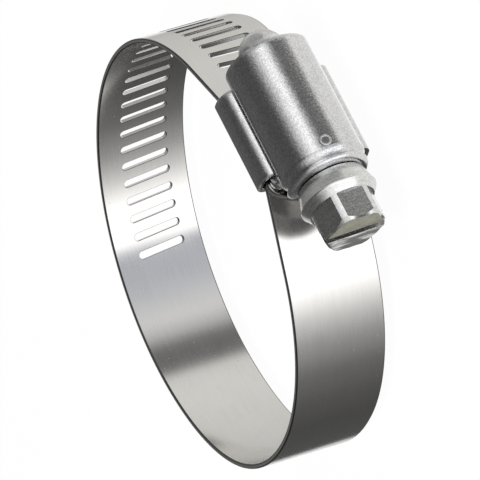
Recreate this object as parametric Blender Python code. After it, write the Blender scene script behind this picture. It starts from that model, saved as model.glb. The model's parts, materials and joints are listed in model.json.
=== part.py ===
"""Worm drive hose clamp: a slotted band, a pressed housing, a folded saddle and a worm screw.

The hoop's axis is Z. The housing sits on the hoop's -Y side, with its screw along X and the head toward -X.
In the housing, heights are measured from the hoop's axis outward, so that a height h lies at y = -h.
"""

import math

import bmesh
import bpy
from mathutils import Vector

MM = 0.001

# The band and its hoop
HOOP_OUTER_RADIUS = 28.9 * MM
BAND_WIDTH = 12.7 * MM
BAND_THICKNESS = 0.65 * MM
BAND_EDGE_EASE = 0.14 * MM
FRONT_BEND_RADIUS = 1.2 * MM
FRONT_BEND_CLEARANCE = 0.4 * MM
REAR_BEND_RADIUS = 6.0 * MM
TAIL_REACH = 11.0 * MM
TAIL_CORNER_RADIUS = 2.2 * MM
FIXED_END_SETBACK = 1.0 * MM
LAYER_GAP = 0.1 * MM

# The slots punched in the band
SLOT_PITCH = 2.54 * MM
SLOT_WIDTH = 1.05 * MM
SLOT_LENGTH = 6.85 * MM
SLOT_SHIFT = 0.35 * MM
FIRST_SLOT_ANGLE = math.radians(149.8)

# The saddle, whose ends fold over the housing's flanges
SADDLE_SHEET = 0.75 * MM
SADDLE_FRONT = 8.4 * MM
SADDLE_REAR = 4.6 * MM
SADDLE_SHIFT = 0.5 * MM
FOLD_RADIUS = 0.9 * MM
FOLD_CLEARANCE = 0.2 * MM

# The screw
THREAD_ROOT_CLEARANCE = 0.25 * MM
THREAD_SIDE_CLEARANCE = 0.08 * MM
THREAD_SUNK = 0.12 * MM
THREAD_FLANK_ANGLE = math.radians(12.5)
THREAD_FRONT = 8.0 * MM
THREAD_REAR = 6.5 * MM
TIP_SHOULDER = 7.45 * MM
COLLAR_TAPER = 0.5 * MM
COLLAR_OVERHANG = 0.84 * MM
COLLAR_HEIGHT = 2.55 * MM
COLLAR_BEVEL_HEIGHT = 1.0 * MM
COLLAR_LEDGE = 0.05 * MM
COLLAR_EASE = 0.15 * MM
HEX_ACROSS_FLATS = 7.94 * MM
HEX_CORNER_TRIM = 0.224 * MM
HEX_LENGTH = 4.0 * MM
HEX_FACE_INSET = 0.35 * MM
HEX_CHAMFER_ANGLE = math.radians(50)
DRIVER_SLOT_WIDTH = 1.2 * MM
DRIVER_SLOT_DEPTH = 1.6 * MM
DRIVER_SLOT_TURN = math.radians(4)

# The housing: a barrel round the worm, drawn in to a neck at the front
HOUSING_SHEET = 0.8 * MM
HOUSING_INSET = 0.65 * MM
HOUSING_REAR = 6.4 * MM
WORM_CLEARANCE = 0.85 * MM
FOOT_RADIUS = 0.7 * MM
FLANGE_INSET = 0.15 * MM
FLANGE_OVERHANG = 0.3 * MM
NECK_START = 9.8 * MM
CREASE_LENGTH = 0.95 * MM
CREASE_DEPTH = 0.45 * MM
RIDGE_LENGTH = 0.85 * MM
RIDGE_DROP = 0.12 * MM
LIP_RADIUS = 0.55 * MM
MOUTH_CLEARANCE = 0.2 * MM
RING_END_ANGLE = math.radians(80)
RING_ARC_ANGLE = math.radians(88)

# What follows from them: the housing is as wide as the band lets it be, and the worm fills it
HOUSING_RADIUS = BAND_WIDTH / 2 - HOUSING_INSET
WORM_RADIUS = HOUSING_RADIUS - HOUSING_SHEET - WORM_CLEARANCE

# The stack between the hoop and the screw, from the inside outward
HOOP_INNER_RADIUS = HOOP_OUTER_RADIUS - BAND_THICKNESS
HOOP_MID_RADIUS = HOOP_OUTER_RADIUS - BAND_THICKNESS / 2
SADDLE_TOP = HOOP_INNER_RADIUS + SADDLE_SHEET
START_LAYER = SADDLE_TOP + LAYER_GAP + BAND_THICKNESS / 2
FREE_LAYER = START_LAYER + BAND_THICKNESS + LAYER_GAP
SCREW_HEIGHT = FREE_LAYER - BAND_THICKNESS / 2 + WORM_RADIUS
FLANGE_BOTTOM = FREE_LAYER + BAND_THICKNESS / 2 + LAYER_GAP
LIP_BOTTOM = FLANGE_BOTTOM + HOUSING_SHEET + LAYER_GAP
THREAD_DEPTH = BAND_THICKNESS + THREAD_ROOT_CLEARANCE
CORE_RADIUS = WORM_RADIUS - THREAD_DEPTH
NECK_RADIUS = WORM_RADIUS - BAND_THICKNESS - LAYER_GAP
SLOT_TILT = math.atan(SLOT_PITCH / (2 * math.pi * WORM_RADIUS))

# The housing's section, about the screw's axis
BARREL_RADIUS = HOUSING_RADIUS - HOUSING_SHEET / 2
FLANGE_DROP = SCREW_HEIGHT - FLANGE_BOTTOM - HOUSING_SHEET / 2
FOOT_CENTRE_DROP = FLANGE_DROP - FOOT_RADIUS
FOOT_CENTRE = math.sqrt((BARREL_RADIUS + FOOT_RADIUS) ** 2 - FOOT_CENTRE_DROP**2)
FOOT_ANGLE = math.atan2(FOOT_CENTRE, FOOT_CENTRE_DROP)
FLANGE_HALF_WIDTH = BAND_WIDTH / 2 - FLANGE_INSET
CREASE_RADIUS = BARREL_RADIUS - CREASE_DEPTH
RIDGE_RADIUS = BARREL_RADIUS - RIDGE_DROP
MOUTH_RADIUS = NECK_RADIUS + MOUTH_CLEARANCE
HOUSING_FRONT = NECK_START + CREASE_LENGTH + RIDGE_LENGTH + LIP_RADIUS + HOUSING_SHEET / 2

# The saddle lies a little toward -Z, and both its folds clear the band
FOLD_WALL = BAND_WIDTH / 2 + FOLD_CLEARANCE + SADDLE_SHIFT + SADDLE_SHEET / 2

# The screw's head
COLLAR_BACK = HOUSING_FRONT + LAYER_GAP
HEAD_START = COLLAR_BACK + COLLAR_HEIGHT + COLLAR_BEVEL_HEIGHT
HEAD_END = HEAD_START + HEX_LENGTH
HEX_CORNER_RADIUS = HEX_ACROSS_FLATS / math.sqrt(3) - HEX_CORNER_TRIM
HEX_FACE_RADIUS = HEX_ACROSS_FLATS / 2 - HEX_FACE_INSET
COLLAR_RIM_RADIUS = HEX_CORNER_RADIUS + COLLAR_OVERHANG
COLLAR_BACK_RADIUS = COLLAR_RIM_RADIUS - COLLAR_TAPER

# The part rests on the saddle's lower fold and stands centred on its bounding box
HOOP_CENTRE = Vector(
    (
        0,
        (SCREW_HEIGHT + HOUSING_RADIUS - HOOP_OUTER_RADIUS) / 2,
        FOLD_WALL + SADDLE_SHEET / 2 + SADDLE_SHIFT,
    )
)

# Fineness of the round forms
HOOP_STRETCH = 3
HOOP_STEP = math.radians(6)
BEND_STEP = math.radians(8)
SLOT_END_STEPS = 6
BARREL_STEPS = 22
FOOT_STEPS = 4
FOLD_STEPS = 6
NECK_STEPS = 5
HEX_FLAT_STEPS = 6
THREAD_RUN_OUT_STEPS = 8
THREAD_STEPS_PER_TURN = 24
TIP_STEPS = 6
TAIL_CORNER_STEPS = 5
MERGE = 0.001 * MM


def clear_scene():
    for obj in list(bpy.data.objects):
        bpy.data.objects.remove(obj, do_unlink=True)


def metal(name, colour, roughness):
    material = bpy.data.materials.new(name)
    material.use_nodes = True
    shader = material.node_tree.nodes["Principled BSDF"]
    shader.inputs["Base Color"].default_value = (*colour, 1)
    shader.inputs["Metallic"].default_value = 1
    shader.inputs["Roughness"].default_value = roughness
    return material


def add_object(name, bm, parent, material=None, location=(0, 0, 0), rotation=(0, 0, 0)):
    """Makes an object of a bmesh, with its faces turned outward."""
    bmesh.ops.recalc_face_normals(bm, faces=bm.faces)
    mesh = bpy.data.meshes.new(name)
    bm.to_mesh(mesh)
    bm.free()
    mesh.shade_smooth()
    mesh.set_sharp_from_angle(angle=math.radians(30))
    if material:
        mesh.materials.append(material)
    obj = bpy.data.objects.new(name, mesh)
    bpy.context.scene.collection.objects.link(obj)
    obj.parent = parent
    obj.location = location
    obj.rotation_euler = rotation
    return obj


def add_helper(name, bm, parent, **place):
    """A cutter or a tool body, kept out of the finished part."""
    obj = add_object(name, bm, parent, **place)
    obj.hide_render = True
    obj.display_type = "WIRE"
    return obj


def add_boolean(obj, tool, operation):
    modifier = obj.modifiers.new(tool.name, "BOOLEAN")
    modifier.operation = operation
    modifier.solver = "EXACT"
    modifier.object = tool


def grid_faces(bm, rows, closed=False):
    """Joins rows of points into quads. A closed grid also joins the last point of a row to its first."""
    rows = [[bm.verts.new(point) for point in row] for row in rows]
    columns = len(rows[0]) if closed else len(rows[0]) - 1
    for low, high in zip(rows, rows[1:]):
        for i in range(columns):
            j = (i + 1) % len(low)
            bm.faces.new((low[i], low[j], high[j], high[i]))
    return rows


def steps(first, last, count):
    return [first + (last - first) * i / count for i in range(count + 1)]


def eased(count):
    """Shares from 0 to 1 that start and end softly, as (even share, eased share), without the first."""
    return [(t, (1 - math.cos(math.pi * t)) / 2) for t in steps(0, 1, count)[1:]]


def leave_angle(reach):
    """Turn of a band face that passes a layer's gap over the saddle's edge and meets the hoop as a tangent."""
    height = SADDLE_TOP + LAYER_GAP
    return math.atan2(reach, height) + math.acos(HOOP_INNER_RADIUS / math.hypot(reach, height))


def corner_reach(angle, level):
    """Where the straight that leaves the hoop at this angle would cross a level of the stack."""
    return (HOOP_MID_RADIUS - level * math.cos(angle)) / math.sin(angle)


def band_path():
    """The band's middle line from the tail's tip round to its fixed end, as (length, turn) for each stretch."""
    rear = leave_angle(SADDLE_REAR)
    front = leave_angle(SADDLE_FRONT + FRONT_BEND_CLEARANCE)
    rear_corner = corner_reach(rear, FREE_LAYER)
    front_corner = corner_reach(front, START_LAYER)
    rear_bend = REAR_BEND_RADIUS + BAND_THICKNESS / 2
    front_bend = FRONT_BEND_RADIUS + BAND_THICKNESS / 2
    rear_cut = rear_bend * math.tan(rear / 2)
    front_cut = front_bend * math.tan(front / 2)
    rear_run = math.sqrt(rear_corner**2 + FREE_LAYER**2 - HOOP_MID_RADIUS**2)
    front_run = math.sqrt(front_corner**2 + START_LAYER**2 - HOOP_MID_RADIUS**2)
    fixed_end = rear_corner - rear_cut - FIXED_END_SETBACK
    hoop = 2 * math.pi - rear - front
    return [
        (TAIL_REACH + rear_corner - rear_cut, 0),
        (rear_bend * rear, rear),
        (rear_run - rear_cut, 0),
        (HOOP_MID_RADIUS * hoop, hoop),
        (front_run - front_cut, 0),
        (front_bend * front, front),
        (front_corner - front_cut + fixed_end, 0),
    ]


def on_path(path, distance, offset):
    """The point (x, height) at a distance along the path and at an offset outward from it."""
    x, height, heading = -TAIL_REACH, FREE_LAYER, 0
    for index, (length, turn) in enumerate(path):
        last = index == len(path) - 1
        run = distance if last else min(distance, length)
        if turn:
            radius = length / turn
            centre = (x - radius * math.sin(heading), height - radius * math.cos(heading))
            heading += run / radius
            x = centre[0] + radius * math.sin(heading)
            height = centre[1] + radius * math.cos(heading)
        else:
            x += run * math.cos(heading)
            height -= run * math.sin(heading)
        distance -= run
        if distance <= 0:
            break
    return x + offset * math.sin(heading), height + offset * math.cos(heading)


def slot_distances(path):
    """Distances along the band of the middles of its slots, from the one nearest the tail."""
    to_hoop = sum(length for length, _ in path[:HOOP_STRETCH])
    last = to_hoop + HOOP_MID_RADIUS * (FIRST_SLOT_ANGLE - path[1][1])
    room = last - SLOT_PITCH / 2 - TAIL_CORNER_RADIUS
    count = int(room / SLOT_PITCH) + 1
    return [last - SLOT_PITCH * (count - 1 - i) for i in range(count)]


def on_level(z):
    """A place across the strip. All but its two edges lie as far toward -Z as the slots do."""
    return z if abs(z) == BAND_WIDTH / 2 else z - SLOT_SHIFT


def slot_cell(bm, middle):
    """One pitch of flat strip with a round-ended slot, leaned to follow the worm's thread."""
    half_pitch = SLOT_PITCH / 2
    radius = SLOT_WIDTH / 2
    straight = SLOT_LENGTH / 2 - radius
    edge = BAND_WIDTH / 2
    border = [
        (half_pitch, straight),
        (half_pitch, edge),
        (half_pitch / 2, edge),
        (0, edge),
        (-half_pitch / 2, edge),
        (-half_pitch, edge),
        (-half_pitch, straight),
    ]
    inner = []
    outer = []
    for side in (1, -1):
        for i, (s, z) in enumerate(border):
            angle = math.pi * i / SLOT_END_STEPS
            inner.append((side * radius * math.cos(angle), side * (straight + radius * math.sin(angle))))
            outer.append((side * s, side * z))
        inner.append((-side * radius, 0))
        outer.append((-side * half_pitch, 0))
    lean = math.tan(SLOT_TILT)
    inner = [bm.verts.new((middle + s + on_level(z) * lean, on_level(z), 0)) for s, z in inner]
    outer = [bm.verts.new((middle + s, on_level(z), 0)) for s, z in outer]
    for i in range(len(inner)):
        j = (i + 1) % len(inner)
        bm.faces.new((inner[i], outer[i], outer[j], inner[j]))


def strip_levels():
    """Places across the strip that the borders of the slotted cells share."""
    straight = SLOT_LENGTH / 2 - SLOT_WIDTH / 2
    return [on_level(z) for z in (-BAND_WIDTH / 2, -straight, 0, straight, BAND_WIDTH / 2)]


def tail_tip(bm, border):
    """The strip's free end up to a border, with round corners."""
    edge = BAND_WIDTH / 2
    corner = []
    for angle in steps(0, math.pi / 2, TAIL_CORNER_STEPS):
        s = TAIL_CORNER_RADIUS * (1 - math.sin(angle))
        corner.append((s, edge - TAIL_CORNER_RADIUS * (1 - math.cos(angle))))
    across = [(border, z) for z in strip_levels()]
    points = across + corner + [(s, -z) for s, z in reversed(corner)]
    bm.faces.new([bm.verts.new((s, z, 0)) for s, z in points])


def plain_stations(path, first):
    """Distances of the columns in the strip's plain part, closer together in its bends."""
    stations = [first]
    start = 0
    for index, (length, turn) in enumerate(path):
        end = start + length
        if end > first:
            step = HOOP_STEP if index == HOOP_STRETCH else BEND_STEP
            low = max(start, first)
            count = max(1, math.ceil(turn * (end - low) / length / step))
            stations += steps(low, end, count)[1:]
        start = end
    return stations


def is_rim(edge, slotted):
    """Whether an edge of the flat strip runs round its outline on either face. A slot's edge doesn't."""
    flat = [abs(face.normal.z) > 0.5 for face in edge.link_faces]
    if flat.count(True) != 1:
        return False
    middle = (edge.verts[0].co + edge.verts[1].co) / 2
    in_slots = slotted[0] < middle.x < slotted[1] and abs(middle.y + SLOT_SHIFT) < SLOT_LENGTH / 2
    return not in_slots


def build_band(parent):
    """The strip, made flat and punched, with its outer edges eased, then wrapped along its path."""
    path = band_path()
    slots = slot_distances(path)
    slotted = (slots[0] - SLOT_PITCH / 2, slots[-1] + SLOT_PITCH / 2)
    bm = bmesh.new()
    tail_tip(bm, slotted[0])
    for middle in slots:
        slot_cell(bm, middle)
    grid_faces(bm, [[(s, z, 0) for z in strip_levels()] for s in plain_stations(path, slotted[1])])
    bmesh.ops.remove_doubles(bm, verts=bm.verts, dist=MERGE)
    top = bmesh.ops.extrude_face_region(bm, geom=bm.faces)["geom"]
    raised = [item for item in top if isinstance(item, bmesh.types.BMVert)]
    bmesh.ops.translate(bm, verts=raised, vec=(0, 0, BAND_THICKNESS))
    bmesh.ops.recalc_face_normals(bm, faces=bm.faces)
    rim = [edge for edge in bm.edges if is_rim(edge, slotted)]
    bmesh.ops.bevel(bm, geom=rim, offset=BAND_EDGE_EASE, segments=1, affect="EDGES")
    for vert in bm.verts:
        x, height = on_path(path, vert.co.x, vert.co.z - BAND_THICKNESS / 2)
        vert.co = (x, -height, vert.co.y)
    add_object("band", bm, parent, metal("band_steel", (0.62, 0.61, 0.58), 0.38))


def add_sheet(name, bm, parent, thickness, material, **place):
    """A sheet piece: its middle surface, thickened evenly to both sides."""
    obj = add_object(name, bm, parent, material, **place)
    modifier = obj.modifiers.new("sheet", "SOLIDIFY")
    modifier.thickness = thickness
    modifier.offset = 0
    modifier.use_even_offset = True
    modifier.use_quality_normals = True
    return obj


def build_saddle(parent):
    """The strap under the band, folded round the band's edges and down on the housing's flanges."""
    centre = FOLD_WALL - FOLD_RADIUS
    low = HOOP_INNER_RADIUS + SADDLE_SHEET / 2 + FOLD_RADIUS
    high = LIP_BOTTOM + SADDLE_SHEET / 2 - FOLD_RADIUS
    fold = []
    for height, start in ((low, -math.pi / 2), (high, 0)):
        for angle in steps(start, start + math.pi / 2, FOLD_STEPS):
            fold.append((centre + FOLD_RADIUS * math.cos(angle), height + FOLD_RADIUS * math.sin(angle)))
    lip = (FOOT_CENTRE + LAYER_GAP, high + FOLD_RADIUS)
    lower = [(-lip[0], lip[1])] + [(-z - SADDLE_SHIFT, height) for z, height in reversed(fold)]
    upper = [(z - SADDLE_SHIFT, height) for z, height in fold] + [lip]
    profile = lower + upper
    bm = bmesh.new()
    grid_faces(bm, [[(x, -height, z) for z, height in profile] for x in (-SADDLE_FRONT, SADDLE_REAR)])
    add_sheet("saddle", bm, parent, SADDLE_SHEET, metal("saddle_steel", (0.55, 0.55, 0.54), 0.3))


def housing_stations():
    """Rows of the housing's middle surface from rear to front, as (x, radius, flare of the foot)."""
    flange_end = -SADDLE_FRONT - FLANGE_OVERHANG
    crease = -NECK_START - CREASE_LENGTH
    ridge = crease - RIDGE_LENGTH
    rows = [(x, BARREL_RADIUS, 1) for x in (HOUSING_REAR, SADDLE_REAR + FLANGE_OVERHANG, flange_end)]
    for t, blend in eased(NECK_STEPS):
        rows.append((flange_end - (NECK_START + flange_end) * t, BARREL_RADIUS, 1 - blend))
    for t, blend in eased(NECK_STEPS):
        rows.append((-NECK_START - CREASE_LENGTH * t, BARREL_RADIUS - CREASE_DEPTH * blend, 0))
    for t, blend in eased(NECK_STEPS):
        rows.append((crease - RIDGE_LENGTH * t, CREASE_RADIUS + (RIDGE_RADIUS - CREASE_RADIUS) * blend, 0))
    for angle in steps(0, math.pi / 2, NECK_STEPS)[1:]:
        rows.append((ridge - LIP_RADIUS * math.sin(angle), RIDGE_RADIUS - LIP_RADIUS * (1 - math.cos(angle)), 0))
    rows.append((ridge - LIP_RADIUS, MOUTH_RADIUS, 0))
    return rows


def housing_row(x, radius, flare):
    """The section at one place: a barrel whose two lower ends flare into flanges, or stop above the band."""
    flange = [(FLANGE_HALF_WIDTH, FLANGE_DROP)]
    for angle in steps(0, math.pi - FOOT_ANGLE, FOOT_STEPS)[:-1]:
        z = FOOT_CENTRE - FOOT_RADIUS * math.sin(angle)
        flange.append((z, FOOT_CENTRE_DROP + FOOT_RADIUS * math.cos(angle)))
    foot = []
    for (z, drop), angle in zip(flange, steps(RING_END_ANGLE, RING_ARC_ANGLE, len(flange))):
        ring_z = radius * math.sin(angle)
        ring_drop = radius * math.cos(angle)
        foot.append((ring_z + (z - ring_z) * flare, ring_drop + (drop - ring_drop) * flare))
    first = RING_ARC_ANGLE + (FOOT_ANGLE - RING_ARC_ANGLE) * flare
    arc = [
        (radius * math.sin(angle), radius * math.cos(angle))
        for angle in steps(first, 2 * math.pi - first, BARREL_STEPS)
    ]
    points = foot + arc + [(-z, drop) for z, drop in reversed(foot)]
    return [(x, drop, z) for z, drop in points]


def build_housing(parent):
    """The barrel behind the saddle has no flange: its rows there keep only the arc."""
    rows = [housing_row(*station) for station in housing_stations()]
    feet = FOOT_STEPS + 1
    bm = bmesh.new()
    grid_faces(bm, [row[feet:-feet] for row in rows[:2]])
    grid_faces(bm, rows[1:])
    bmesh.ops.remove_doubles(bm, verts=bm.verts, dist=MERGE)
    material = metal("housing_steel", (0.6, 0.6, 0.59), 0.28)
    add_sheet("housing", bm, parent, HOUSING_SHEET, material, location=(0, -SCREW_HEIGHT, 0))


def ring_angles():
    """Angles that every ring of the screw shares. They include the ends of the hexagon's flats."""
    reach = math.acos(HEX_ACROSS_FLATS / 2 / HEX_CORNER_RADIUS)
    angles = []
    for side in range(6):
        middle = -math.pi / 2 + side * math.pi / 3
        angles += [middle + offset for offset in steps(-reach, reach, HEX_FLAT_STEPS)]
        angles.append(middle + math.pi / 6)
    return angles


def hex_radius(angle):
    """Distance to the hexagon at an angle, with its corners turned down."""
    sector = math.pi / 3
    offset = (angle + math.pi / 2 + sector / 2) % sector - sector / 2
    return min(HEX_ACROSS_FLATS / 2 / math.cos(offset), HEX_CORNER_RADIUS)


def build_screw_blank(parent, material):
    """The turned body and its hexagon, as rings from the rounded tip to the head's end."""
    angles = ring_angles()
    collar_rim = COLLAR_BACK + COLLAR_HEIGHT
    turned = []
    for angle in steps(0, math.pi / 2, TIP_STEPS)[1:]:
        turned.append((-TIP_SHOULDER - CORE_RADIUS * math.cos(angle), CORE_RADIUS * math.sin(angle)))
    turned += [
        (THREAD_FRONT + THREAD_ROOT_CLEARANCE, CORE_RADIUS),
        (THREAD_FRONT + THREAD_ROOT_CLEARANCE, NECK_RADIUS),
        (COLLAR_BACK, NECK_RADIUS),
        (COLLAR_BACK, COLLAR_BACK_RADIUS - COLLAR_EASE),
        (COLLAR_BACK + COLLAR_EASE, COLLAR_BACK_RADIUS),
        (collar_rim, COLLAR_RIM_RADIUS),
        (HEAD_START, HEX_CORNER_RADIUS + COLLAR_LEDGE),
    ]
    rings = [[(radius * math.cos(a), radius * math.sin(a), z) for a in angles] for z, radius in turned]
    hexagon = [(hex_radius(a) * math.cos(a), hex_radius(a) * math.sin(a)) for a in angles]
    rings.append([(x, y, HEAD_START) for x, y in hexagon])
    drops = [(math.hypot(x, y) - HEX_FACE_RADIUS) * math.tan(HEX_CHAMFER_ANGLE) for x, y in hexagon]
    rings.append([(x, y, HEAD_END - drop) for (x, y), drop in zip(hexagon, drops)])
    rings.append([(HEX_FACE_RADIUS * math.cos(a), HEX_FACE_RADIUS * math.sin(a), HEAD_END) for a in angles])
    bm = bmesh.new()
    rows = grid_faces(bm, rings, closed=True)
    bm.faces.new(rows[-1])
    tip = bm.verts.new((0, 0, -TIP_SHOULDER - CORE_RADIUS))
    for i, vert in enumerate(rows[0]):
        bm.faces.new((tip, vert, rows[0][i - 1]))
    place = {"location": (0, -SCREW_HEIGHT, 0), "rotation": (0, -math.pi / 2, 0)}
    return add_object("screw", bm, parent, material, **place)


def build_thread(parent, slot_x):
    """A right-hand ridge whose crest passes the middle of a slot at slot_x, run out at both ends."""
    flank = math.tan(THREAD_FLANK_ANGLE)
    crest = SLOT_WIDTH / 2 - THREAD_SIDE_CLEARANCE - BAND_THICKNESS * flank
    depth = THREAD_DEPTH + THREAD_SUNK
    root = crest + depth * flank
    turns = (THREAD_REAR + THREAD_FRONT) / SLOT_PITCH
    count = round(turns * THREAD_STEPS_PER_TURN)
    first = math.pi / 2 + 2 * math.pi * (slot_x - THREAD_REAR) / SLOT_PITCH
    sections = []
    for i in range(count + 1):
        angle = first + 2 * math.pi * turns * i / count
        z = -THREAD_REAR + SLOT_PITCH * turns * i / count
        run_out = max(0, 1 - min(i, count - i) / THREAD_RUN_OUT_STEPS)
        top = WORM_RADIUS - (THREAD_DEPTH + THREAD_SUNK / 2) * run_out
        profile = [(top - depth, -root), (top, -crest), (top, crest), (top - depth, root)]
        sections.append([(r * math.cos(angle), r * math.sin(angle), z + dz) for r, dz in profile])
    bm = bmesh.new()
    rows = grid_faces(bm, sections, closed=True)
    bm.faces.new(rows[0])
    bm.faces.new(rows[-1])
    return add_helper("thread_ridge", bm, parent)


def build_driver_slot(parent):
    """The cutter reaches past both sides of the head, and as far above its end as below."""
    bm = bmesh.new()
    bmesh.ops.create_cube(bm, size=1)
    size = (2 * HEX_ACROSS_FLATS, DRIVER_SLOT_WIDTH, 2 * DRIVER_SLOT_DEPTH)
    bmesh.ops.scale(bm, verts=bm.verts, vec=size)
    return add_helper("driver_slot", bm, parent, location=(0, 0, HEAD_END), rotation=(0, 0, DRIVER_SLOT_TURN))


def build_screw(parent):
    screw = build_screw_blank(parent, metal("screw_steel", (0.5, 0.5, 0.49), 0.32))
    slot_x = slot_distances(band_path())[0] - TAIL_REACH
    add_boolean(screw, build_thread(screw, slot_x), "UNION")
    add_boolean(screw, build_driver_slot(screw), "DIFFERENCE")


def main():
    clear_scene()
    clamp = bpy.data.objects.new("clamp_frame", None)
    bpy.context.scene.collection.objects.link(clamp)
    clamp.location = HOOP_CENTRE
    build_band(clamp)
    build_saddle(clamp)
    build_housing(clamp)
    build_screw(clamp)


main()
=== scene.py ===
"""Worm drive hose clamp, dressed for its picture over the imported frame.

Everything is in metres in the frame's own axes. The hoop's axis is Z, the housing is on the -Y side, and the
screw lies along X with its head toward -X. Heights in the housing are measured from the hoop's axis outward.
"""

import json
import math

import bmesh
import bpy
from mathutils import Matrix, Vector


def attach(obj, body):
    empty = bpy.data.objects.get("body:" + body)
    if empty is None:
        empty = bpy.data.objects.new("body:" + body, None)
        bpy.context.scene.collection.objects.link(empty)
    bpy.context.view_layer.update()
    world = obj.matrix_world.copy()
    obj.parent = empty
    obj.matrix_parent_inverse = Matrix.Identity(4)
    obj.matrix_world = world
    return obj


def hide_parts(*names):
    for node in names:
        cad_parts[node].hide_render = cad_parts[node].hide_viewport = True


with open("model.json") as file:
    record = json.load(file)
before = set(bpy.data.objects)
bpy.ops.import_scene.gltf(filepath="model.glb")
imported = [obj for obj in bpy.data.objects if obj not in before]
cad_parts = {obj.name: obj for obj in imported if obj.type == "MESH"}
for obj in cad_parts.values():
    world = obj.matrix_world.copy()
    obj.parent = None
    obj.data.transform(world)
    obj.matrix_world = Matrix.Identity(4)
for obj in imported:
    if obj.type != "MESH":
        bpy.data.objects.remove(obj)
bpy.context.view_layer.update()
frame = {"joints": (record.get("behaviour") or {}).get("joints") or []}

bl_info = {
    "name": "Worm drive hose clamp",
    "version": (1, 0, 0),
    "blender": (4, 5, 0),
    "location": "View3D > Sidebar > Hose clamp",
    "description": "Builds a stainless worm drive hose clamp and its studio",
    "category": "Add Mesh",
}

MM = 0.001
# Distances within which two points count as the same, exactly or loosely
CLOSE = 0.001 * MM
NEAR = 0.01 * MM
JOINT_POS = Vector(frame["joints"][0]["pos_m"])


# Settings


def metres(name, description, default):
    return bpy.props.FloatProperty(name=name, description=description, default=default, unit="LENGTH")


def steel(description, default):
    return bpy.props.FloatVectorProperty(
        name="Steel", description=description, default=default, subtype="COLOR"
    )


class BandSettings(bpy.types.PropertyGroup):
    outer_radius: metres("Outer radius", "Outside radius of the hoop", 28.9 * MM)
    width: metres("Width", "Width of the band", 12.7 * MM)
    thickness: metres("Thickness", "Thickness of the band", 0.65 * MM)
    slot_pitch: metres("Slot pitch", "Distance from slot to slot", 2.54 * MM)
    slot_width: metres("Slot width", "Width of a slot along the band", 1.05 * MM)
    slot_length: metres("Slot length", "Length of a slot across the band", 6.85 * MM)
    slot_shift: metres("Slot shift", "How far the slots lie toward -Z", 0.35 * MM)
    colour: steel("Colour of the band's steel", (0.74, 0.73, 0.71))


class HousingSettings(bpy.types.PropertyGroup):
    radius: metres("Radius", "Outside radius of the barrel", 5.7 * MM)
    sheet: metres("Sheet", "Thickness of the housing's sheet", 0.8 * MM)
    saddle_sheet: metres("Saddle sheet", "Thickness of the saddle's sheet", 0.75 * MM)
    edge_ease: metres("Edge ease", "Rounding of the sheets' cut edges", 0.13 * MM)
    colour: steel("Colour of the pressed sheet", (0.66, 0.66, 0.66))


class ScrewSettings(bpy.types.PropertyGroup):
    worm_radius: metres("Worm radius", "Radius over the thread's crest", 4.05 * MM)
    across_flats: metres("Across flats", "Size of the hexagon", 7.94 * MM)
    slot_width: metres("Driver slot width", "Width of the driver slot", 1.2 * MM)
    slot_depth: metres("Driver slot depth", "Depth of the driver slot", 1.6 * MM)
    colour: steel("Colour of the screw's steel", (0.72, 0.72, 0.71))


class StudioSettings(bpy.types.PropertyGroup):
    lamp: bpy.props.FloatProperty(
        name="Lamp strength", description="Strength shared by the soft lamps", default=1.0, min=0, max=4
    )
    shadow: bpy.props.FloatProperty(
        name="Shadow", description="How much of the floor's own shading shows", default=0.04, subtype="FACTOR"
    )


# Shader maths


class Value:
    """A number on a socket. Arithmetic on it adds Math nodes to its tree."""

    def __init__(self, tree, socket):
        self.tree = tree
        self.socket = socket

    def math(self, operation, *others):
        node = self.tree.nodes.new("ShaderNodeMath")
        node.operation = operation
        for entry, item in zip(node.inputs, (self, *others)):
            if isinstance(item, Value):
                self.tree.links.new(item.socket, entry)
            else:
                entry.default_value = item
        return Value(self.tree, node.outputs[0])

    def __add__(self, other):
        return self.math("ADD", other)

    __radd__ = __add__

    def __sub__(self, other):
        return self.math("SUBTRACT", other)

    def __rsub__(self, other):
        return -self + other

    def __mul__(self, other):
        return self.math("MULTIPLY", other)

    __rmul__ = __mul__

    def __truediv__(self, other):
        return self.math("DIVIDE", other)

    def __neg__(self):
        return self.math("MULTIPLY", -1)

    def clamped(self):
        result = self.math("ADD", 0)
        result.socket.node.use_clamp = True
        return result


# The Mix node's inputs for a factor and two colours, and the output that mixes them
MIX_INPUTS = (0, 6, 7)
MIX_OUTPUT = 2

EVEN = (1, 1, 1)


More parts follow.
